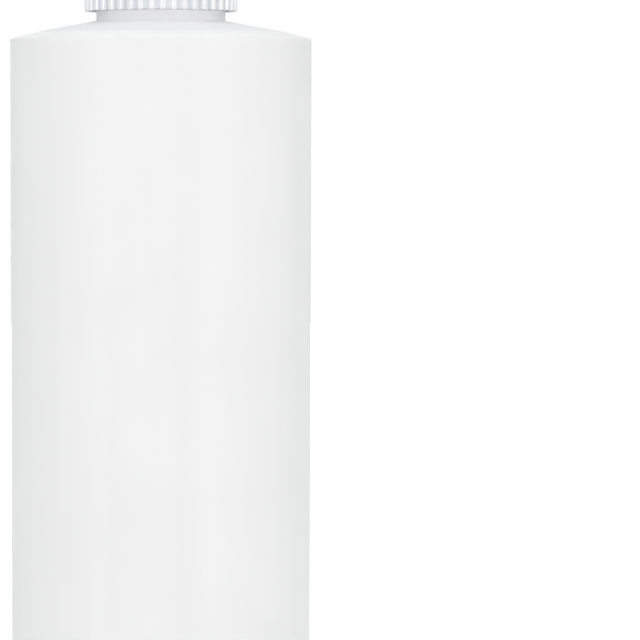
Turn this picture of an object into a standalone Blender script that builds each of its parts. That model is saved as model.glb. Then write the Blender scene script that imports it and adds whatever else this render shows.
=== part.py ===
"""Cylinder reagent bottle: a blow-moulded translucent bottle, its ribbed screw cap and the cap's foam liner.

Metres, +Z up. The origin is the centre of the ring that the bottle stands on.
"""

import math

import bmesh
import bpy
from mathutils import Matrix, Vector

# Bottle body
BODY_DIAMETER = 0.0528
BODY_HEIGHT = 0.1267  # table to the corner where the wall and the shoulder cone would meet
BODY_WALL = 0.0009
SHOULDER_SLOPE = math.radians(10.8)
SHOULDER_EDGE_RADIUS = 0.0012

# Bottle base
BASE_WALL = 0.0011
BASE_EDGE_RADIUS = 0.0034
STANDING_RING_WIDTH = 0.0024  # flat ring that touches the table
PUSH_UP_HEIGHT = 0.0015  # height of the wall that rises inside the ring
PUSH_UP_CROWN = 0.0007  # further rise from there to the middle of the base
PUSH_UP_RADIUS = 0.0008

# Neck finish
NECK_DIAMETER = 0.0214
NECK_WALL = 0.0021
NECK_HEIGHT = 0.0174  # shoulder cone to the lip
NECK_ROOT_RADIUS = 0.0009
NECK_THROAT_RADIUS = 0.0016  # inside, where the bore opens into the shoulder
THREAD_DEPTH = 0.0012  # room that the thread takes between the neck and the cap
LIP_RADIUS = 0.0004
COLLAR_PROUD = 0.00065  # how far the collar at the foot of the neck stands out of it
COLLAR_HEIGHT = 0.0020  # shoulder cone to the top of the collar

# Screw cap
CAP_WALL = 0.0009  # at the foot of a groove
CAP_TOP = 0.0015
CAP_EDGE_RADIUS = 0.0010
CAP_CEILING_RADIUS = 0.0003
CAP_RIM_RADIUS = 0.0003
CAP_RIM_LIFT = 0.0015  # shoulder cone to the cap's rim, at the neck
CAP_THREAD_CLEARANCE = 0.0002
RIB_COUNT = 42
GROOVE_DEPTH = 0.0004
GROOVE_WIDTH = 0.0012
GROOVE_STOP = 0.0014  # plain band between the grooves and the top face
GROOVE_RUN_OUT = 0.0008  # length over which a groove fades at its top

# Foam liner
LINER_THICKNESS = 0.0010
LINER_RADIAL_CLEARANCE = 0.0003
LINER_EDGE_RADIUS = 0.0002
SEAT_GAP = 0.0003  # between the lip, the liner and the cap

# Fineness of the round forms
BOTTLE_STEPS = 60
FACETS_PER_RIB = 2
ARC_TOLERANCE = 0.00005  # most that a facet leaves its arc
GROOVE_SIDES = 8

# Sizes that follow from those above
BODY_RADIUS = BODY_DIAMETER / 2
NECK_RADIUS = NECK_DIAMETER / 2
COLLAR_RADIUS = NECK_RADIUS + COLLAR_PROUD
NECK_ROOT_Z = BODY_HEIGHT + (BODY_RADIUS - COLLAR_RADIUS) * math.tan(SHOULDER_SLOPE)
LIP_Z = NECK_ROOT_Z + NECK_HEIGHT
LINER_Z = LIP_Z + SEAT_GAP
CAP_RIM_Z = NECK_ROOT_Z + CAP_RIM_LIFT
CAP_CEILING = LINER_Z + LINER_THICKNESS + SEAT_GAP - CAP_RIM_Z
CAP_HEIGHT = CAP_CEILING + CAP_TOP
CAP_BORE_RADIUS = NECK_RADIUS + THREAD_DEPTH + CAP_THREAD_CLEARANCE
CAP_RADIUS = CAP_BORE_RADIUS + CAP_WALL + GROOVE_DEPTH


def clear_scene():
    for obj in list(bpy.data.objects):
        bpy.data.objects.remove(obj)


def collection(name):
    made = bpy.data.collections.new(name)
    bpy.context.scene.collection.children.link(made)
    return made


def plastic(name, colour, roughness):
    material = bpy.data.materials.new(name)
    material.use_nodes = True
    shader = material.node_tree.nodes["Principled BSDF"]
    shader.inputs["Base Color"].default_value = (*colour, 1)
    shader.inputs["Roughness"].default_value = roughness
    shader.inputs["Metallic"].default_value = 0
    return material


def rounded(corners):
    """The outline through (x, z, radius) corners, each one replaced by an arc of its radius."""
    outline = [Vector(corners[0][:2])]
    for before, corner, after in zip(corners, corners[1:], corners[2:]):
        point, radius = Vector(corner[:2]), corner[2]
        back = (Vector(before[:2]) - point).normalized()
        ahead = (Vector(after[:2]) - point).normalized()
        half_angle = back.angle(ahead) / 2
        if radius == 0:
            outline.append(point)
            continue
        centre = point + (back + ahead).normalized() * radius / math.sin(half_angle)
        start = point + back * radius / math.tan(half_angle) - centre
        end = point + ahead * radius / math.tan(half_angle) - centre
        sweep = -start.angle_signed(end)
        facet = 2 * math.acos(max(0, 1 - ARC_TOLERANCE / radius))
        count = math.ceil(abs(sweep) / facet)
        for i in range(count + 1):
            outline.append(centre + Matrix.Rotation(sweep * i / count, 2) @ start)
    outline.append(Vector(corners[-1][:2]))
    return outline


def turned(name, outline, steps, group):
    """A solid turned about Z from an outline whose outer side runs from top to bottom."""
    mesh = bpy.data.meshes.new(name)
    mesh.from_pydata([(p.x, 0, p.y) for p in outline], [(i, i + 1) for i in range(len(outline) - 1)], [])
    obj = bpy.data.objects.new(name, mesh)
    group.objects.link(obj)
    screw = obj.modifiers.new("turn", "SCREW")
    screw.axis = "Z"
    screw.steps = steps
    screw.render_steps = steps
    screw.use_merge_vertices = True
    screw.merge_threshold = 0.00001
    screw.use_smooth_shade = True
    return obj


def bottle_outline():
    """Half section of the bottle, from the middle of the base inside, over the lip, to the middle outside."""
    slope_rise = math.tan(SHOULDER_SLOPE)
    bore_radius = NECK_RADIUS - NECK_WALL
    ring_radius = BODY_RADIUS - BASE_EDGE_RADIUS - STANDING_RING_WIDTH
    inner_radius = BODY_RADIUS - BODY_WALL
    cone_drop = BODY_WALL / math.cos(SHOULDER_SLOPE)
    collar_top = NECK_ROOT_Z + COLLAR_HEIGHT
    push_up_foot = ring_radius - PUSH_UP_HEIGHT
    crown_z = PUSH_UP_HEIGHT + PUSH_UP_CROWN
    inside = [
        (0, crown_z + BASE_WALL, 0),
        (push_up_foot, PUSH_UP_HEIGHT + BASE_WALL, PUSH_UP_RADIUS),
        (ring_radius, BASE_WALL, PUSH_UP_RADIUS),
        (inner_radius, BASE_WALL, BASE_EDGE_RADIUS - BODY_WALL),
        (inner_radius, BODY_HEIGHT + BODY_WALL * slope_rise - cone_drop, SHOULDER_EDGE_RADIUS),
        (bore_radius, BODY_HEIGHT + (BODY_RADIUS - bore_radius) * slope_rise - cone_drop, NECK_THROAT_RADIUS),
        (bore_radius, LIP_Z, LIP_RADIUS),
    ]
    outside = [
        (NECK_RADIUS, LIP_Z, LIP_RADIUS),
        (NECK_RADIUS, collar_top, 0),
        (COLLAR_RADIUS, collar_top, COLLAR_PROUD / 2),
        (COLLAR_RADIUS, NECK_ROOT_Z, NECK_ROOT_RADIUS),
        (BODY_RADIUS, BODY_HEIGHT, SHOULDER_EDGE_RADIUS),
        (BODY_RADIUS, 0, BASE_EDGE_RADIUS),
        (ring_radius, 0, PUSH_UP_RADIUS),
        (push_up_foot, PUSH_UP_HEIGHT, PUSH_UP_RADIUS),
        (0, crown_z, 0),
    ]
    return rounded(inside + outside)


def cap_outline():
    """Half section of the cap, with heights from its rim, from the middle of its top to the middle of its ceiling."""
    return rounded([
        (0, CAP_HEIGHT, 0),
        (CAP_RADIUS, CAP_HEIGHT, CAP_EDGE_RADIUS),
        (CAP_RADIUS, 0, CAP_RIM_RADIUS),
        (CAP_BORE_RADIUS, 0, CAP_RIM_RADIUS),
        (CAP_BORE_RADIUS, CAP_CEILING, CAP_CEILING_RADIUS),
        (0, CAP_CEILING, 0),
    ])


def liner_outline():
    radius = CAP_BORE_RADIUS - LINER_RADIAL_CLEARANCE
    return rounded([
        (0, LINER_THICKNESS, 0),
        (radius, LINER_THICKNESS, LINER_EDGE_RADIUS),
        (radius, 0, LINER_EDGE_RADIUS),
        (0, 0, 0),
    ])


def groove_cutter(group):
    """Upright round bars set about the cap, each drawn to a point outside the cap so that its groove fades."""
    bar_radius = (GROOVE_WIDTH ** 2 / 4 + GROOVE_DEPTH ** 2) / (2 * GROOVE_DEPTH)
    reach = CAP_RADIUS - GROOVE_DEPTH + bar_radius
    foot = -CAP_RIM_RADIUS
    groove_top = CAP_HEIGHT - GROOVE_STOP
    bar_top = groove_top - GROOVE_RUN_OUT
    point = Vector((CAP_RADIUS + GROOVE_DEPTH, 0, groove_top + GROOVE_RUN_OUT))
    bars = bmesh.new()
    for i in range(RIB_COUNT):
        turn = Matrix.Rotation(2 * math.pi * i / RIB_COUNT, 4, "Z")
        bar = bmesh.ops.create_cone(
            bars, cap_ends=True, segments=GROOVE_SIDES, radius1=bar_radius, radius2=bar_radius,
            depth=bar_top - foot, matrix=turn @ Matrix.Translation((reach, 0, (foot + bar_top) / 2)),
        )
        faces = {face for vert in bar["verts"] for face in vert.link_faces}
        top = max(faces, key=lambda face: face.calc_center_median().z)
        tip = bmesh.ops.extrude_discrete_faces(bars, faces=[top])["faces"][0]
        bmesh.ops.pointmerge(bars, verts=tip.verts, merge_co=turn @ point)
    mesh = bpy.data.meshes.new("grooves")
    bars.to_mesh(mesh)
    bars.free()
    obj = bpy.data.objects.new("grooves", mesh)
    obj.hide_render = True
    obj.display_type = "WIRE"
    group.objects.link(obj)
    return obj


def build():
    clear_scene()
    parts = collection("reagent_bottle")
    cutters = collection("cutters")

    base_centre = bpy.data.objects.new("base_centre", None)
    parts.objects.link(base_centre)

    bottle = turned("bottle", bottle_outline(), BOTTLE_STEPS, parts)
    bottle.data.materials.append(plastic("natural_polyethylene", (0.87, 0.88, 0.87), 0.42))
    bottle.parent = base_centre

    cap_axis = bpy.data.objects.new("cap_axis", None)
    cap_axis.location = (0, 0, CAP_RIM_Z)
    cap_axis.parent = base_centre
    parts.objects.link(cap_axis)

    cap = turned("cap", cap_outline(), RIB_COUNT * FACETS_PER_RIB, parts)
    cap.data.materials.append(plastic("white_polypropylene", (0.86, 0.87, 0.90), 0.3))
    cap.parent = cap_axis
    grooves = groove_cutter(cutters)
    grooves.parent = cap_axis
    cut = cap.modifiers.new("grip grooves", "BOOLEAN")
    cut.operation = "DIFFERENCE"
    cut.solver = "EXACT"
    cut.object = grooves

    liner = turned("liner", liner_outline(), BOTTLE_STEPS, parts)
    liner.data.materials.append(plastic("white_foam", (0.9, 0.9, 0.88), 0.7))
    liner.parent = cap_axis
    liner.location = (0, 0, LINER_Z - CAP_RIM_Z)


build()
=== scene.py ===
import math

import bmesh
import bpy
from mathutils import Matrix, Vector


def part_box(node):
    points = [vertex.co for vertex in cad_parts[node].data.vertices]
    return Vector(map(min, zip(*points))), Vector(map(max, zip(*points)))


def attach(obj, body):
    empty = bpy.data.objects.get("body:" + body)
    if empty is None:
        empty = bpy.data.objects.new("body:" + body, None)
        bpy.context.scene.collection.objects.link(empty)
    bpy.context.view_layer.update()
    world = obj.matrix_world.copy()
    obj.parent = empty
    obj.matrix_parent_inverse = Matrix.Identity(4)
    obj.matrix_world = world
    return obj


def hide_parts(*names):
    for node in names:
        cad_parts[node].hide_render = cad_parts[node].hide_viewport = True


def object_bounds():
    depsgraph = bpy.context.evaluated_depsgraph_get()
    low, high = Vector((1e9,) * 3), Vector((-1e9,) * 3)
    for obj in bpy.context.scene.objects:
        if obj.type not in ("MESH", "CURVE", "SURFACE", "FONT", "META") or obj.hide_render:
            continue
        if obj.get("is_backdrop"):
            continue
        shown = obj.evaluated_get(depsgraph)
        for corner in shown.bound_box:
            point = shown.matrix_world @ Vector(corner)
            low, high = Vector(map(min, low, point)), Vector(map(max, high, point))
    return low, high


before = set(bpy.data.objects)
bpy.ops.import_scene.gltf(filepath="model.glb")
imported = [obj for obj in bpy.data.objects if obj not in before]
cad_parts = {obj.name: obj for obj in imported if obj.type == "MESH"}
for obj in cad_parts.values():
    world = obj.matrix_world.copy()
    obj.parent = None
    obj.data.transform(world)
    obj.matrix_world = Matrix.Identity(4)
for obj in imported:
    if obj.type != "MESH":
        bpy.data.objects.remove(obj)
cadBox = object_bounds()
scene = bpy.context.scene
print("bottle: frame loaded, nodes", sorted(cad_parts))


# Node trees written as sums

class Wire:
    # one output socket; sums on it add Math nodes to its tree
    def __init__(self, graph, socket):
        self.graph = graph
        self.socket = socket

    def __add__(self, other):
        return self.graph.sum("ADD", self, other)

    def __radd__(self, other):
        return self.graph.sum("ADD", other, self)

    def __sub__(self, other):
        return self.graph.sum("SUBTRACT", self, other)

    def __rsub__(self, other):
        return self.graph.sum("SUBTRACT", other, self)

    def __mul__(self, other):
        return self.graph.sum("MULTIPLY", self, other)

    def __rmul__(self, other):
        return self.graph.sum("MULTIPLY", other, self)

    def __truediv__(self, other):
        return self.graph.sum("DIVIDE", self, other)

    def __abs__(self):
        return self.graph.sum("ABSOLUTE", self)

    def __round__(self):
        return self.graph.sum("ROUND", self)

    def atMost(self, limit):
        return self.graph.sum("MINIMUM", self, limit)

    def soften(self, low, high):
        # 0 below low, 1 above high, a smooth step between
        return self.graph.node("ShaderNodeMapRange", {"interpolation_type": "SMOOTHSTEP"},
                               {"Value": self, "From Min": low, "From Max": high})


class Graph:
    def __init__(self, tree):
        self.tree = tree

    def join(self, socket, value):
        if isinstance(value, Wire):
            self.tree.links.new(value.socket, socket)
        else:
            socket.default_value = value

    def split(self, vector):
        parts = self.tree.nodes.new("ShaderNodeSeparateXYZ")
        self.join(parts.inputs[0], vector)
        return [Wire(self, socket) for socket in parts.outputs]

    def node(self, kind, settings=None, sockets=None, pick=0):
        made = self.tree.nodes.new(kind)
        for name, value in (settings or {}).items():
            setattr(made, name, value)
        for name, value in (sockets or {}).items():
            self.join(made.inputs[name], value)
        return Wire(self, made.outputs[pick]) if len(made.outputs) else made

    def sum(self, operation, *values):
        return self.node("ShaderNodeMath", {"operation": operation}, dict(enumerate(values)))

    def mix(self, share, first, second):
        # the colour sockets of a Mix node come after those for numbers and vectors
        made = self.tree.nodes.new("ShaderNodeMix")
        made.data_type = "RGBA"
        for place, value in zip((0, 6, 7), (share, first, second)):
            self.join(made.inputs[place], value)
        return Wire(self, made.outputs[2])


# Turned shapes

touching = 1e-6  # points closer than this are in the same place


def roundedOutline(corners, tolerance=0.000006):
    # corners are (radius, height, rounding); each corner becomes an arc
    outline = [Vector(corners[0][:2])]
    for before, corner, after in zip(corners, corners[1:], corners[2:]):
        point, rounding = Vector(corner[:2]), corner[2]
        if rounding == 0:
            outline.append(point)
            continue
        back = (Vector(before[:2]) - point).normalized()
        ahead = (Vector(after[:2]) - point).normalized()
        half = back.angle(ahead) / 2
        centre = point + (back + ahead).normalized() * rounding / math.sin(half)
        start = point + back * rounding / math.tan(half) - centre
        end = point + ahead * rounding / math.tan(half) - centre
        sweep = -start.angle_signed(end)
        count = math.ceil(abs(sweep) / (2 * math.acos(1 - tolerance / rounding)))
        for i in range(count + 1):
            outline.append(centre + Matrix.Rotation(sweep * i / count, 2) @ start)
    outline.append(Vector(corners[-1][:2]))
    return outline


def stepped(outline, longest, low, high, radius):
    # extra points on upright runs at one radius between two heights, so that the wall there can be shaped
    result = [outline[0]]
    for before, point in zip(outline, outline[1:]):
        onWall = abs(before.x - radius) < touching and abs(point.x - radius) < touching
        inRange = min(before.y, point.y) > low - touching and max(before.y, point.y) < high + touching
        count = math.ceil((point - before).length / longest) if onWall and inRange else 1
        result += [before.lerp(point, (i + 1) / count) for i in range(count)]
    return result


def turned(name, outline, angles):
    # a closed solid about Z; points on the axis become one shared vertex
    shape = bmesh.new()
    rings = []
    for point in outline:
        if point.x < touching:
            rings.append([shape.verts.new((0, 0, point.y))] * len(angles))
        else:
            places = [(point.x * math.cos(a), point.x * math.sin(a), point.y) for a in angles]
            rings.append([shape.verts.new(place) for place in places])
    for ring, nextRing in zip(rings, rings[1:]):
        for i in range(len(angles)):
            j = (i + 1) % len(angles)
            corners = list(dict.fromkeys((ring[i], nextRing[i], nextRing[j], ring[j])))
            shape.faces.new(corners)
    bmesh.ops.recalc_face_normals(shape, faces=shape.faces)
    for face in shape.faces:
        face.smooth = True
    mesh = bpy.data.meshes.new(name)
    shape.to_mesh(mesh)
    shape.free()
    obj = bpy.data.objects.new(name, mesh)
    scene.collection.objects.link(obj)
    return obj


def markWall(obj, attribute, radius, low, high):
    # 1 on the vertices of the upright wall at that radius between two heights
    marks = obj.data.attributes.new(attribute, "FLOAT", "POINT")
    for vert, mark in zip(obj.data.vertices, marks.data):
        onWall = abs(math.hypot(vert.co.x, vert.co.y) - radius) < 2 * touching and low <= vert.co.z <= high
        mark.value = 1.0 if onWall else 0.0


# Walls shaped by Geometry Nodes

def wallTree(name, sizes):
    # a tree with a geometry input, one input for each size, and the wall's polar coordinates
    tree = bpy.data.node_groups.new(name, "GeometryNodeTree")
    tree.interface.new_socket("Geometry", in_out="INPUT", socket_type="NodeSocketGeometry")
    for size in sizes:
        tree.interface.new_socket(size, in_out="INPUT", socket_type="NodeSocketFloat")
    tree.interface.new_socket("Finish", in_out="INPUT", socket_type="NodeSocketMaterial")
    tree.interface.new_socket("Geometry", in_out="OUTPUT", socket_type="NodeSocketGeometry")
    graph = Graph(tree)
    entry = tree.nodes.new("NodeGroupInput")
    sockets = {socket.name: Wire(graph, socket) for socket in entry.outputs if socket.name}
    x, y, height = graph.split(graph.node("GeometryNodeInputPosition"))
    return graph, sockets, graph.sum("ARCTAN2", y, x), height


def marked(graph, attribute):
    return graph.node("GeometryNodeInputNamedAttribute", {"data_type": "FLOAT"}, {"Name": attribute})


def moveWall(graph, sockets, angle, outward, upward=0.0, **marks):
    # keeps the marks for the finish, shifts the wall along its radius, realizes it and gives it its finish
    shape = sockets["Geometry"]
    for name, value in marks.items():
        shape = graph.node("GeometryNodeStoreNamedAttribute", {"data_type": "FLOAT", "domain": "POINT"}, {
            "Geometry": shape, "Name": name, "Value": value})
    offset = graph.node("ShaderNodeCombineXYZ", None, {
        0: outward * graph.sum("COSINE", angle), 1: outward * graph.sum("SINE", angle), 2: upward})
    moved = graph.node("GeometryNodeSetPosition", None, {"Geometry": shape, "Offset": offset})
    realized = graph.node("GeometryNodeRealizeInstances", None, {"Geometry": moved})
    finished = graph.node("GeometryNodeSetMaterial", None, {
        "Geometry": realized, "Material": sockets["Finish"]})
    leave = graph.tree.nodes.new("NodeGroupOutput")
    graph.join(leave.inputs[0], finished)
    return graph.tree


def screwThread():
    # a ridge along a right-handed helix, with ends that fade into the wall
    graph, size, angle, height = wallTree("screw thread", [
        "Height", "Pitch", "Turns", "Start", "Start Angle", "Crest", "Root", "Fade"])
    turn = (angle - size["Start Angle"]) / (2 * math.pi)
    rise = (height - size["Start"]) / size["Pitch"] - turn
    nearest = round(rise)
    along = turn + nearest
    across = abs(rise - nearest) * size["Pitch"] * 2
    ridge = 1 - across.soften(size["Crest"], size["Root"])
    ends = along.soften(0.0, size["Fade"]) * (size["Turns"] - along).soften(0.0, size["Fade"])
    return moveWall(graph, size, angle, ridge * ends * size["Height"] * marked(graph, "threadWall"))


def gripRibs():
    # grooves at equal angles, with a faded top and a notch where each one meets the rim
    graph, size, angle, height = wallTree("grip ribs", [
        "Count", "Depth", "Groove", "Edge", "Top", "Fade", "Notch"])
    place = angle * size["Count"] / (2 * math.pi)
    across = abs(place - round(place)) * 2
    groove = 1 - across.soften(size["Groove"] - size["Edge"], size["Groove"] + size["Edge"])
    top = (size["Top"] - height).soften(0.0, size["Fade"])
    length = top * marked(graph, "gripWall")
    notch = groove * size["Notch"] * marked(graph, "rimWall")
    return moveWall(graph, size, angle, groove * length * size["Depth"] * -1, notch,
                    ribPlace=across, ribLength=length)


def shaped(obj, tree, finish, **sizes):
    # runs the tree once and keeps its result as a plain mesh
    modifier = obj.modifiers.new(tree.name, "NODES")
    modifier.node_group = tree
    for item in tree.interface.items_tree:
        key = item.name.replace(" ", "")
        key = key[0].lower() + key[1:]
        if item.in_out == "INPUT" and key in sizes:
            modifier[item.identifier] = float(sizes[key])
        elif item.in_out == "INPUT" and item.name == "Finish":
            modifier[item.identifier] = finish
    graph = bpy.context.evaluated_depsgraph_get()
    evaluated = obj.evaluated_get(graph)
    mesh = bpy.data.meshes.new_from_object(evaluated, preserve_all_data_layers=True, depsgraph=graph)
    obj.modifiers.remove(modifier)
    obj.data = mesh
    return obj


# Finishes

def finish(name, colour, roughness, settings):
    material = bpy.data.materials.new(name)
    material.use_nodes = True
    graph = Graph(material.node_tree)
    shader = material.node_tree.nodes["Principled BSDF"]
    shader.inputs["Base Color"].default_value = (*colour, 1)
    shader.inputs["Roughness"].default_value = roughness
    for socket, value in settings.items():
        shader.inputs[socket].default_value = value
    place = graph.node("ShaderNodeTexCoord", None, None, "Object")
    return material, graph, shader, place


def scaled(graph, place, x, y, z):
    return graph.node("ShaderNodeVectorMath", {"operation": "MULTIPLY"}, {0: place, 1: (x, y, z)})


def noise(graph, place, scale, detail=2.0):
    return graph.node("ShaderNodeTexNoise", None, {"Vector": place, "Scale": scale, "Detail": detail})


def bump(graph, height, distance, strength, before=None):
    sockets = {"Height": height, "Distance": distance, "Strength": strength}
    if before is not None:
        sockets["Normal"] = before
    return graph.node("ShaderNodeBump", None, sockets)


polyethylene = {
    "clear": (0.853, 0.854, 0.857),
    "cloudy": (0.831, 0.832, 0.835),
    "cloudStep": (0.35, 0.65),  # from clear to cloudy
    "thick": (0.786, 0.789, 0.803),  # painted shade: inside the shoulder's bend the colour is darker
    "thickReach": (0.0217, 0.0223),
    "thickHeight": (0.1250, 0.1265),
    # painted light: the neck is lighter, partly for its thicker, whiter wall and partly standing in for
    # light that the wall passes on
    "neck": (0.862, 0.866, 0.872),
    "neckReach": (0.0120, 0.0134),
    "neckHeight": (0.1280, 0.1290),
    "passedLight": (0.05, 0.0505, 0.051),  # stands in for light that the wall passes on
    "boreReach": (0.0098, 0.0102),  # only outside the bore
    "rootReach": (0.0120, 0.0132),  # at the root of the neck
    "rootFoot": (0.1288, 0.1291),
    "rootTop": (0.1296, 0.1301),
    "gapReach": (0.0118, 0.0122),  # and in the gap under the closed cap
    "gapFoot": (0.1306, 0.1311),
    "gapTop": (0.1316, 0.1324),
    "gapShare": 1.3,
    "roughness": 0.5,
    "noiseRoom": 0.05,  # taken off the roughness before noise adds to it
    "cloudScale": 45.0,
    "drawnScale": 140.0,
    "drawn": 0.02,  # how far the cloudiness is stretched along the height
    "drawnShare": 0.6,
    "drawnRough": 0.06,
    "ripple": (0.00012, 0.25),  # distance and strength of a bump
    "dieLines": 900.0,  # fine upright lines left by the die
    "dieStretch": 0.004,
    "dieRough": 0.04,
    "streaks": (0.00003, 0.25),
    "skin": 2200.0,
    "skinBump": (0.00003, 0.2),
}


def naturalPolyethylene():
    look = polyethylene
    material, graph, shader, place = finish("naturalPolyethylene", look["clear"], look["roughness"], {
        "IOR": 1.54, "Specular IOR Level": 0.1, "Diffuse Roughness": 1.0, "Subsurface Weight": 0.2,
        "Subsurface Radius": (1.0, 0.97, 0.92), "Subsurface Scale": 0.0008, "Emission Strength": 1.0})
    drawn = noise(graph, scaled(graph, place, 1, 1, look["drawn"]), look["drawnScale"], 3.0)
    cloud = noise(graph, place, look["cloudScale"])
    lines = noise(graph, scaled(graph, place, 1, 1, look["dieStretch"]), look["dieLines"])
    skin = noise(graph, place, look["skin"], 1.0)
    share = (drawn * look["drawnShare"] + cloud * (1 - look["drawnShare"])).soften(*look["cloudStep"])
    x, y, height = graph.split(place)
    reach = graph.sum("SQRT", x * x + y * y)
    # painted shade inside the shoulder's bend
    thick = (1 - reach.soften(*look["thickReach"])) * height.soften(*look["thickHeight"])
    # painted light on the neck
    neck = (1 - reach.soften(*look["neckReach"])) * height.soften(*look["neckHeight"])
    colour = graph.mix(share, (*look["clear"], 1), (*look["cloudy"], 1))
    colour = graph.mix(thick, colour, (*look["thick"], 1))
    graph.join(shader.inputs["Base Color"], graph.mix(neck, colour, (*look["neck"], 1)))
    outside = reach.soften(*look["boreReach"])
    root = outside * (1 - reach.soften(*look["rootReach"]))
    root = root * height.soften(*look["rootFoot"]) * (1 - height.soften(*look["rootTop"]))
    gap = outside * (1 - reach.soften(*look["gapReach"]))
    gap = gap * height.soften(*look["gapFoot"]) * (1 - height.soften(*look["gapTop"]))
    passed = graph.mix(root + gap * look["gapShare"], (0, 0, 0, 1), (*look["passedLight"], 1))
    graph.join(shader.inputs["Emission Color"], passed)
    rough = look["roughness"] - look["noiseRoom"] + drawn * look["drawnRough"] + lines * look["dieRough"]
    graph.join(shader.inputs["Roughness"], rough)
    ripple = bump(graph, drawn, *look["ripple"])
    streaks = bump(graph, lines, *look["streaks"], ripple)
    graph.join(shader.inputs["Normal"], bump(graph, skin, *look["skinBump"], streaks))
    return material


polypropylene = {
    "white": (0.775, 0.785, 0.812),
    "rubbed": (0.90, 0.91, 0.925),  # painted highlight along the edges of the ribs
    "shaded": (0.68, 0.703, 0.737),  # painted shade on the floors of the grooves
    "edgeIn": (0.48, 0.58),  # across half a rib's pitch, from the middle of a groove
    "edgeOut": (0.64, 0.80),
    "floorEdge": (0.20, 0.50),
    "wear": 0.25,  # how much the painted highlight varies
    "wearStep": (0.35, 0.65),
    "flow": 160.0,
    "roughness": 0.22,
    "grainRough": 0.05,
    "floorRough": 0.12,
    "wornSmooth": 0.06,
    "grain": 2600.0,
    "grainBump": (0.00003, 0.2),
}


def whitePolypropylene():
    look = polypropylene
    material, graph, shader, place = finish("whitePolypropylene", look["white"], look["roughness"], {
        "IOR": 1.49, "Specular IOR Level": 0.5, "Diffuse Roughness": 1.0})
    grain = noise(graph, place, look["grain"])
    flow = noise(graph, place, look["flow"])
    across = graph.node("ShaderNodeAttribute", {"attribute_name": "ribPlace"}, None, "Fac")
    length = graph.node("ShaderNodeAttribute", {"attribute_name": "ribLength"}, None, "Fac")
    edge = across.soften(*look["edgeIn"]) * (1 - across.soften(*look["edgeOut"])) * length
    # painted shade on the groove floors
    floor = (1 - across.soften(*look["floorEdge"])) * length
    # painted highlight on the rib edges, which are also made smoother
    highlitEdge = edge * (1 - look["wear"] + flow.soften(*look["wearStep"]) * look["wear"])
    colour = graph.mix(floor, (*look["white"], 1), (*look["shaded"], 1))
    graph.join(shader.inputs["Base Color"], graph.mix(highlitEdge, colour, (*look["rubbed"], 1)))
    rough = look["roughness"] + grain * look["grainRough"] + floor * look["floorRough"]
    graph.join(shader.inputs["Roughness"], rough - highlitEdge * look["wornSmooth"])
    graph.join(shader.inputs["Normal"], bump(graph, grain, *look["grainBump"]))
    return material


foam = {
    "skin": (0.90, 0.90, 0.885),
    "cell": (0.82, 0.82, 0.80),
    "cells": 2400.0,
    "cellStep": (0.15, 0.55),
    "roughness": 0.78,
    "skinSmooth": 0.12,
    "cellBump": (0.00005, 0.5),
}


def whiteFoam():
    look = foam
    material, graph, shader, place = finish("whiteFoam", look["skin"], look["roughness"], {
        "IOR": 1.45, "Specular IOR Level": 0.3, "Subsurface Weight": 0.2,
        "Subsurface Radius": (1.0, 1.0, 1.0), "Subsurface Scale": 0.001})
    cells = graph.node("ShaderNodeTexVoronoi", {"feature": "F1"}, {"Vector": place, "Scale": look["cells"]})
    skin = cells.soften(*look["cellStep"])
    graph.join(shader.inputs["Base Color"], graph.mix(skin, (*look["cell"], 1), (*look["skin"], 1)))
    graph.join(shader.inputs["Roughness"], look["roughness"] - skin * look["skinSmooth"])
    graph.join(shader.inputs["Normal"], bump(graph, skin, *look["cellBump"]))
    return material


# Bottle

bottleForm = {
    "bodyRadius": 0.0264,
    "cornerHeight": 0.1267,  # where the wall and the shoulder cone would meet
    "wall": 0.0009,
    "slope": math.radians(10.8),
    "bendRadius": 0.0220,  # outside this the shoulder falls more steeply
    "bendSlope": math.radians(14.0),
    "bendEdge": 0.004,
    "shoulderEdge": 0.00028,
    "baseWall": 0.0011,
    "baseEdge": 0.0034,
    "ringWidth": 0.0024,
    "pushUp": 0.0015,
    "crown": 0.0007,
    "pushUpEdge": 0.0008,
    "neckRadius": 0.0107,
    "neckWall": 0.0021,
    "neckHeight": 0.0174,
    "throat": 0.0016,
    "lipEdge": 0.0004,
    "collarProud": 0.0006,
    "collarHeight": 0.0020,
    "collarRoot": 0.0003,
    "columns": 192,
    "partingAngle": math.radians(14),
    "partingHeight": 0.00006,
    "partingWidth": 0.00016,
    "partingColumns": (-1.6, -1, -0.5, 0, 0.5, 1, 1.6),  # in parting widths from the line
    "partingRoom": 2.4,
    "partingFoot": 0.001,
    "shoulderFoot": 0.12,
    "baseRings": 16,
    "baseTop": 0.003,
    "scarLength": 0.030,  # where the mould pinched the tube off
    "scarHeight": 0.0004,
    "scarWidth": 0.00045,
    "scarFade": 0.002,
}

threadForm = {
    "pitch": 0.003175,
    "turns": 1.5,
    "height": 0.00115,
    "crest": 0.0008,
    "root": 0.0023,
    "fade": 0.12,
    "startAngle": math.radians(-30),
    "lipRoom": 0.0019,  # from the thread's upper end to the lip
    "wallStep": 0.00013,
    "wallFoot": 0.0004,  # plain wall above the collar and below the lip
    "wallHead": 0.0006,
}


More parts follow.
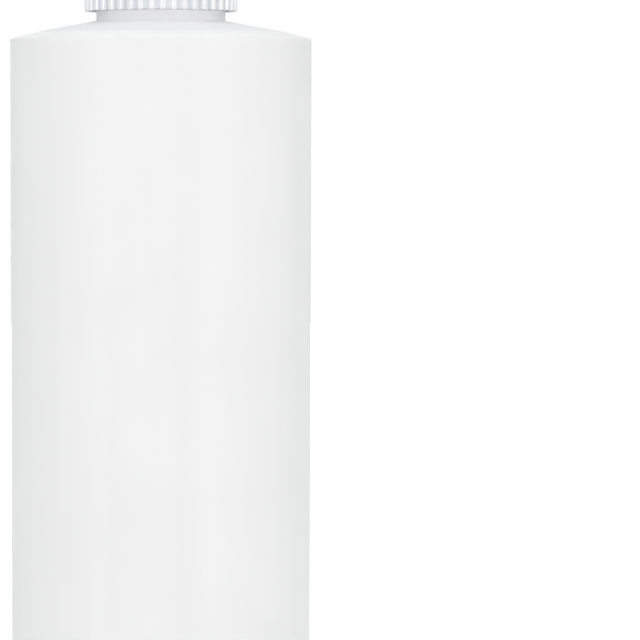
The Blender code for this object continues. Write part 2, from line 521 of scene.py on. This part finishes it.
def bottleOutline():
    form = bottleForm
    rise = math.tan(form["slope"])
    bore = form["neckRadius"] - form["neckWall"]
    collar = form["neckRadius"] + form["collarProud"]
    ring = form["bodyRadius"] - form["baseEdge"] - form["ringWidth"]
    inner = form["bodyRadius"] - form["wall"]
    drop = form["wall"] / math.cos(form["slope"])
    bend = form["bendRadius"]
    bendHeight = form["cornerHeight"] + (form["bodyRadius"] - bend) * rise
    steep = math.tan(form["bendSlope"])
    corner = bendHeight - (form["bodyRadius"] - bend) * steep
    root = form["cornerHeight"] + (form["bodyRadius"] - collar) * rise
    lip = root + form["neckHeight"]
    collarTop = root + form["collarHeight"]
    pushFoot = ring - form["pushUp"]
    crown = form["pushUp"] + form["crown"]
    corners = [
        (0, crown + form["baseWall"], 0),
        (pushFoot, form["pushUp"] + form["baseWall"], form["pushUpEdge"]),
        (ring, form["baseWall"], form["pushUpEdge"]),
        (inner, form["baseWall"], form["baseEdge"] - form["wall"]),
        (inner, corner + form["wall"] * steep - drop, form["shoulderEdge"]),
        (bend, bendHeight - drop, form["bendEdge"]),
        (bore, form["cornerHeight"] + (form["bodyRadius"] - bore) * rise - drop, form["throat"]),
        (bore, lip, form["lipEdge"]),
        (form["neckRadius"], lip, form["lipEdge"]),
        (form["neckRadius"], collarTop, form["collarProud"] / 3),
        (collar, collarTop, form["collarProud"] / 2),
        (collar, root, form["collarRoot"]),
        (bend, bendHeight, form["bendEdge"]),
        (form["bodyRadius"], corner, form["shoulderEdge"]),
        (form["bodyRadius"], 0, form["baseEdge"]),
        (ring, 0, form["pushUpEdge"]),
        (pushFoot, form["pushUp"], form["pushUpEdge"]),
    ]
    rings = form["baseRings"]
    for i in range(1, rings + 1):
        corners.append((pushFoot * (1 - i / rings), form["pushUp"] + form["crown"] * i / rings, 0))
    return roundedOutline(corners), collarTop, lip


def partedAngles():
    # even columns, with close ones where the mould halves meet
    form = bottleForm
    angles = [2 * math.pi * i / form["columns"] for i in range(form["columns"])]
    step = form["partingWidth"] / form["bodyRadius"]
    for half in (0, math.pi):
        seam = form["partingAngle"] + half
        angles = [a for a in angles if abs(a - seam) > form["partingRoom"] * step]
        angles += [seam + step * share for share in form["partingColumns"]]
    return sorted(angles)


def raisePartingLine(obj):
    # a fine ridge up both sides, and under the base, along the plane between the mould halves
    form = bottleForm
    inner = form["bodyRadius"] - form["wall"] / 2
    collar = form["neckRadius"] + form["collarProud"]
    normals = [vert.normal.copy() for vert in obj.data.vertices]
    axis = Vector((math.cos(form["partingAngle"]), math.sin(form["partingAngle"]), 0))
    side = Vector((-axis.y, axis.x, 0))
    for vert, normal in zip(obj.data.vertices, normals):
        reach = math.hypot(vert.co.x, vert.co.y)
        onWall = reach > inner and vert.co.z > form["partingFoot"]
        onShoulder = reach > collar and normal.z > 0.3 and vert.co.z > form["shoulderFoot"]
        if onWall or onShoulder:
            away = abs(vert.co.dot(side)) / form["partingWidth"] * form["bodyRadius"] / reach
            vert.co += normal * form["partingHeight"] * math.exp(-away * away)
        elif normal.z < -0.5 and vert.co.z < form["baseTop"]:
            away = vert.co.dot(side) / form["scarWidth"]
            along = abs(vert.co.dot(axis)) - form["scarLength"] / 2 + form["scarFade"]
            along = max(0.0, along) / form["scarFade"]
            vert.co.z -= form["scarHeight"] * math.exp(-away * away - along * along)


def makeBottle(material):
    outline, collarTop, lip = bottleOutline()
    form, thread = bottleForm, threadForm
    low, high = collarTop + thread["wallFoot"], lip - thread["wallHead"]
    outline = stepped(outline, thread["wallStep"], collarTop, lip, form["neckRadius"])
    bottle = turned("bottleShell", outline, partedAngles())
    raisePartingLine(bottle)
    markWall(bottle, "threadWall", form["neckRadius"], low, high)
    start = lip - thread["lipRoom"] - thread["turns"] * thread["pitch"]
    shaped(bottle, screwThread(), material, height=thread["height"], pitch=thread["pitch"],
           turns=thread["turns"], start=start, startAngle=thread["startAngle"], crest=thread["crest"],
           root=thread["root"], fade=thread["fade"])
    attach(bottle, "bottle")
    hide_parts("bottle")
    print("bottle: shell and neck thread,", len(bottle.data.polygons), "faces")
    return start


# Cap

capFoot, capHead = (corner[2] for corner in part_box("cap"))
rimRise = 0.0002  # the visible rim is this much higher than the solid's

capForm = {
    "rim": capFoot + rimRise,
    "height": capHead - capFoot - rimRise,
    "topWall": 0.0015,
    "radius": 0.0134,
    "bore": 0.0121,
    "topEdge": 0.0010,
    "rimEdge": 0.00014,
    "ceilingEdge": 0.0003,
    "ribs": 42,
    "grooveDepth": 0.0005,
    "grooveShare": 0.54,  # of a rib's pitch
    "grooveEdge": 0.14,
    "notch": 0.00012,  # where a groove meets the rim
    "leadIn": 0.01265,  # the bore opens to this radius at the rim
    "leadInDepth": 0.0030,
    "plainBand": 0.0014,  # between the grooves and the top
    "runOut": 0.0009,
    "gripStep": 0.0004,
    "gripEnd": 0.0012,
    "gripColumns": (0, 0.1, 0.18, 0.22, 0.25, 0.28, 0.31, 0.34, 0.37, 0.42),  # from a groove's middle
    "gateRadius": 0.0011,
    "gateFloor": 0.6,
    "gateEdge": 0.0003,
    "gateDepth": 0.00025,
}

capThread = {
    "turns": 1.3,
    "height": 0.00105,
    "crest": 0.0005,
    "root": 0.0014,
    "fade": 0.12,
    "wallStep": 0.0003,
    "wallFoot": 0.004,  # plain wall above the rim and below the ceiling
    "wallHead": 0.0018,
}


def makeCap(material, threadStart):
    form, thread = capForm, capThread
    top = form["rim"] + form["height"]
    ceiling = top - form["topWall"]
    outline = roundedOutline([
        (0, top - form["gateDepth"], 0),
        (form["gateRadius"] * form["gateFloor"], top - form["gateDepth"], form["gateEdge"]),
        (form["gateRadius"], top, form["gateEdge"]),
        (form["radius"], top, form["topEdge"]),
        (form["radius"], form["rim"], form["rimEdge"]),
        (form["leadIn"], form["rim"], form["rimEdge"] / 2),
        (form["leadIn"], form["rim"] + form["leadInDepth"], 0),
        (form["bore"], form["rim"] + form["leadInDepth"] + form["leadIn"] - form["bore"], 0),
        (form["bore"], ceiling, form["ceilingEdge"]),
        (0, ceiling, 0),
    ])
    outline = stepped(outline, thread["wallStep"], form["rim"], ceiling, form["bore"])
    outline = stepped(outline, form["gripStep"], form["rim"], top, form["radius"])
    columns = form["gripColumns"]
    shares = (-0.5, *(-share for share in reversed(columns[1:])), *columns)
    angles = [2 * math.pi * (i + share) / form["ribs"] for i in range(form["ribs"]) for share in shares]
    cap = turned("capShell", outline, angles)
    grip = cap.data.attributes.new("gripWall", "FLOAT", "POINT")
    rim = cap.data.attributes.new("rimWall", "FLOAT", "POINT")
    inside = form["leadIn"] + form["rimEdge"]
    for vert, onGrip, onRim in zip(cap.data.vertices, grip.data, rim.data):
        reach = math.hypot(vert.co.x, vert.co.y)
        share = max(0.0, min(1.0, (reach - inside) / (form["radius"] - inside)))
        onGrip.value = share if vert.co.z < top - form["gripEnd"] else 0.0
        onRim.value = 1.0 if vert.co.z < form["rim"] + form["rimEdge"] * 1.01 else 0.0
    low, high = form["rim"] + thread["wallFoot"], ceiling - thread["wallHead"]
    markWall(cap, "threadWall", form["bore"], low, high)
    shaped(cap, gripRibs(), material, count=form["ribs"], depth=form["grooveDepth"],
           groove=form["grooveShare"], edge=form["grooveEdge"], top=top - form["plainBand"],
           fade=form["runOut"], notch=form["notch"])
    start = threadStart - threadForm["pitch"] / 2
    shaped(cap, screwThread(), material, height=-thread["height"], pitch=threadForm["pitch"],
           turns=thread["turns"], start=start, startAngle=threadForm["startAngle"], crest=thread["crest"],
           root=thread["root"], fade=thread["fade"])
    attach(cap, "cap")
    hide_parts("cap")
    print("bottle: ribbed cap,", len(cap.data.polygons), "faces")


# Liner

linerFoot, linerHead = (corner[2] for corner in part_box("liner"))

linerForm = {
    "foot": linerFoot,
    "thickness": linerHead - linerFoot,
    "radius": 0.0118,
    "edge": 0.00025,
    "printInner": 0.0087,  # where the lip has pressed the foam
    "printOuter": 0.0106,
    "printDepth": 0.00008,
    "printSide": 0.0001,
    "printEdge": 0.00008,
    "columns": 128,
}


def makeLiner(material):
    form = linerForm
    foot, top = form["foot"], form["foot"] + form["thickness"]
    pressed = foot + form["printDepth"]
    outline = roundedOutline([
        (0, top, 0),
        (form["radius"], top, form["edge"]),
        (form["radius"], foot, form["edge"]),
        (form["printOuter"] + form["printSide"], foot, form["printEdge"]),
        (form["printOuter"], pressed, form["printEdge"]),
        (form["printInner"], pressed, form["printEdge"]),
        (form["printInner"] - form["printSide"], foot, form["printEdge"]),
        (0, foot, 0),
    ])
    columns = form["columns"]
    liner = turned("foamLiner", outline, [2 * math.pi * i / columns for i in range(columns)])
    liner.data.materials.append(material)
    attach(liner, "liner")
    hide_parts("liner")
    print("bottle: foam liner,", len(liner.data.polygons), "faces")


# Stage, light and camera

stage = {
    "floorSize": 1.2,
    "floorCorners": 96,
    "floorGap": 0.0002,
    "floorColour": (0.88, 0.88, 0.88, 1),
    "floorGlow": 0.75,  # what a viewer sees on top of the lit floor
    "fill": 0.435,  # even light from all round
    "fillColour": (0.957, 1.0, 1.0, 1),
    "aim": (0, 0, 0.09),
    "noGloss": "backSoftbox",  # its reflection would shine along the shoulder's edge
    # azimuth and elevation in degrees, distance, width, height, light on a surface that faces it, colour
    "lamps": {
        "frontSoftbox": (0, 2, 1.3, 2.0, 0.30, 0.63, (1.0, 0.966, 0.957)),
        "leftSoftbox": (-75, 12, 1.0, 0.6, 0.5, 0.01, (0.97, 1.0, 0.99)),
        "rightSoftbox": (75, 12, 1.0, 0.6, 0.5, 0.01, (0.95, 0.99, 1.0)),
        "backSoftbox": (180, 5, 1.3, 2.0, 0.30, 0.42, (1.0, 0.98, 0.97)),
        "topSoftbox": (0, 75, 1.0, 1.0, 0.7, 0.38, (1.0, 0.995, 0.99)),
    },
}

view = {
    "sensor": 36,
    "focal": 3294 / 640,  # in widths of the picture
    "distance": 0.581,
    "aimHeight": 0.07707,
    "pitch": math.radians(3.61),
    "turn": math.radians(-1.5),
    "shift": 159.15 / 640,  # the bottle stands left of the frame's middle
}


def seenRays(graph):
    # 1 where the picture shows the surface, directly, in a reflection or through something clear
    rays = graph.tree.nodes.new("ShaderNodeLightPath").outputs
    seen = Wire(graph, rays["Is Camera Ray"]) + Wire(graph, rays["Is Glossy Ray"])
    return (seen + Wire(graph, rays["Is Transmission Ray"])).atMost(1.0)


def makeFloor():
    shape = bmesh.new()
    bmesh.ops.create_circle(shape, cap_ends=True, segments=stage["floorCorners"], radius=stage["floorSize"])
    mesh = bpy.data.meshes.new("floor")
    shape.to_mesh(mesh)
    shape.free()
    floor = bpy.data.objects.new("floor", mesh)
    floor.location.z = -stage["floorGap"]
    scene.collection.objects.link(floor)
    material = bpy.data.materials.new("paleFloor")
    material.use_nodes = True
    graph = Graph(material.node_tree)
    material.node_tree.nodes.clear()
    seen = seenRays(graph)
    paint = graph.node("ShaderNodeBsdfDiffuse", None, {"Color": stage["floorColour"]})
    glow = graph.node("ShaderNodeEmission", None, {
        "Color": (1, 1, 1, 1), "Strength": seen * stage["floorGlow"]})
    both = graph.node("ShaderNodeAddShader", None, {0: paint, 1: glow})
    graph.node("ShaderNodeOutputMaterial", None, {"Surface": both})
    floor.data.materials.append(material)
    floor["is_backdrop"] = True


def makeWorld():
    world = bpy.data.worlds.new("studio")
    scene.world = world
    world.use_nodes = True
    graph = Graph(world.node_tree)
    world.node_tree.nodes.clear()
    seen = seenRays(graph)
    strength = stage["fill"] + seen * (1 - stage["fill"])
    colour = graph.mix(seen, stage["fillColour"], (1, 1, 1, 1))
    back = graph.node("ShaderNodeBackground", None, {"Color": colour, "Strength": strength})
    graph.node("ShaderNodeOutputWorld", None, {"Surface": back})


def makeLamps():
    for name, (azimuth, elevation, distance, width, height, level, colour) in stage["lamps"].items():
        data = bpy.data.lights.new(name, "AREA")
        data.shape = "RECTANGLE"
        data.size = width
        data.size_y = height
        data.energy = level * math.pi ** 2 * distance ** 2
        data.color = colour
        lamp = bpy.data.objects.new(name, data)
        rise = Matrix.Rotation(math.radians(-elevation), 3, "X")
        away = Matrix.Rotation(math.radians(azimuth), 3, "Z") @ rise @ Vector((0, -distance, 0))
        lamp.location = Vector(stage["aim"]) + away
        lamp.rotation_euler = (-away).to_track_quat("-Z", "Y").to_euler()
        lamp.visible_glossy = name != stage["noGloss"]
        scene.collection.objects.link(lamp)


def makeCamera():
    data = bpy.data.cameras.new("camera")
    data.sensor_width = view["sensor"]
    data.lens = view["focal"] * view["sensor"]
    data.shift_x = view["shift"]
    data.clip_start = 0.01
    camera = bpy.data.objects.new("camera", data)
    tilt = view["pitch"]
    aim = Vector((0, 0, view["aimHeight"]))
    place = aim + view["distance"] * Vector((0, -math.cos(tilt), math.sin(tilt)))
    spin = Matrix.Rotation(view["turn"], 4, "Z")
    camera.matrix_world = spin @ Matrix.Translation(place) @ Matrix.Rotation(math.pi / 2 - tilt, 4, "X")
    scene.collection.objects.link(camera)
    scene.camera = camera


threadStart = makeBottle(naturalPolyethylene())
makeCap(whitePolypropylene(), threadStart)
makeLiner(whiteFoam())
makeFloor()
makeWorld()
makeLamps()
makeCamera()
scene.view_settings.view_transform = "Standard"
print("bottle: stage, light and camera")

{"cad": [list(corner) for corner in cadBox], "visual": [list(corner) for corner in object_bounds()]}
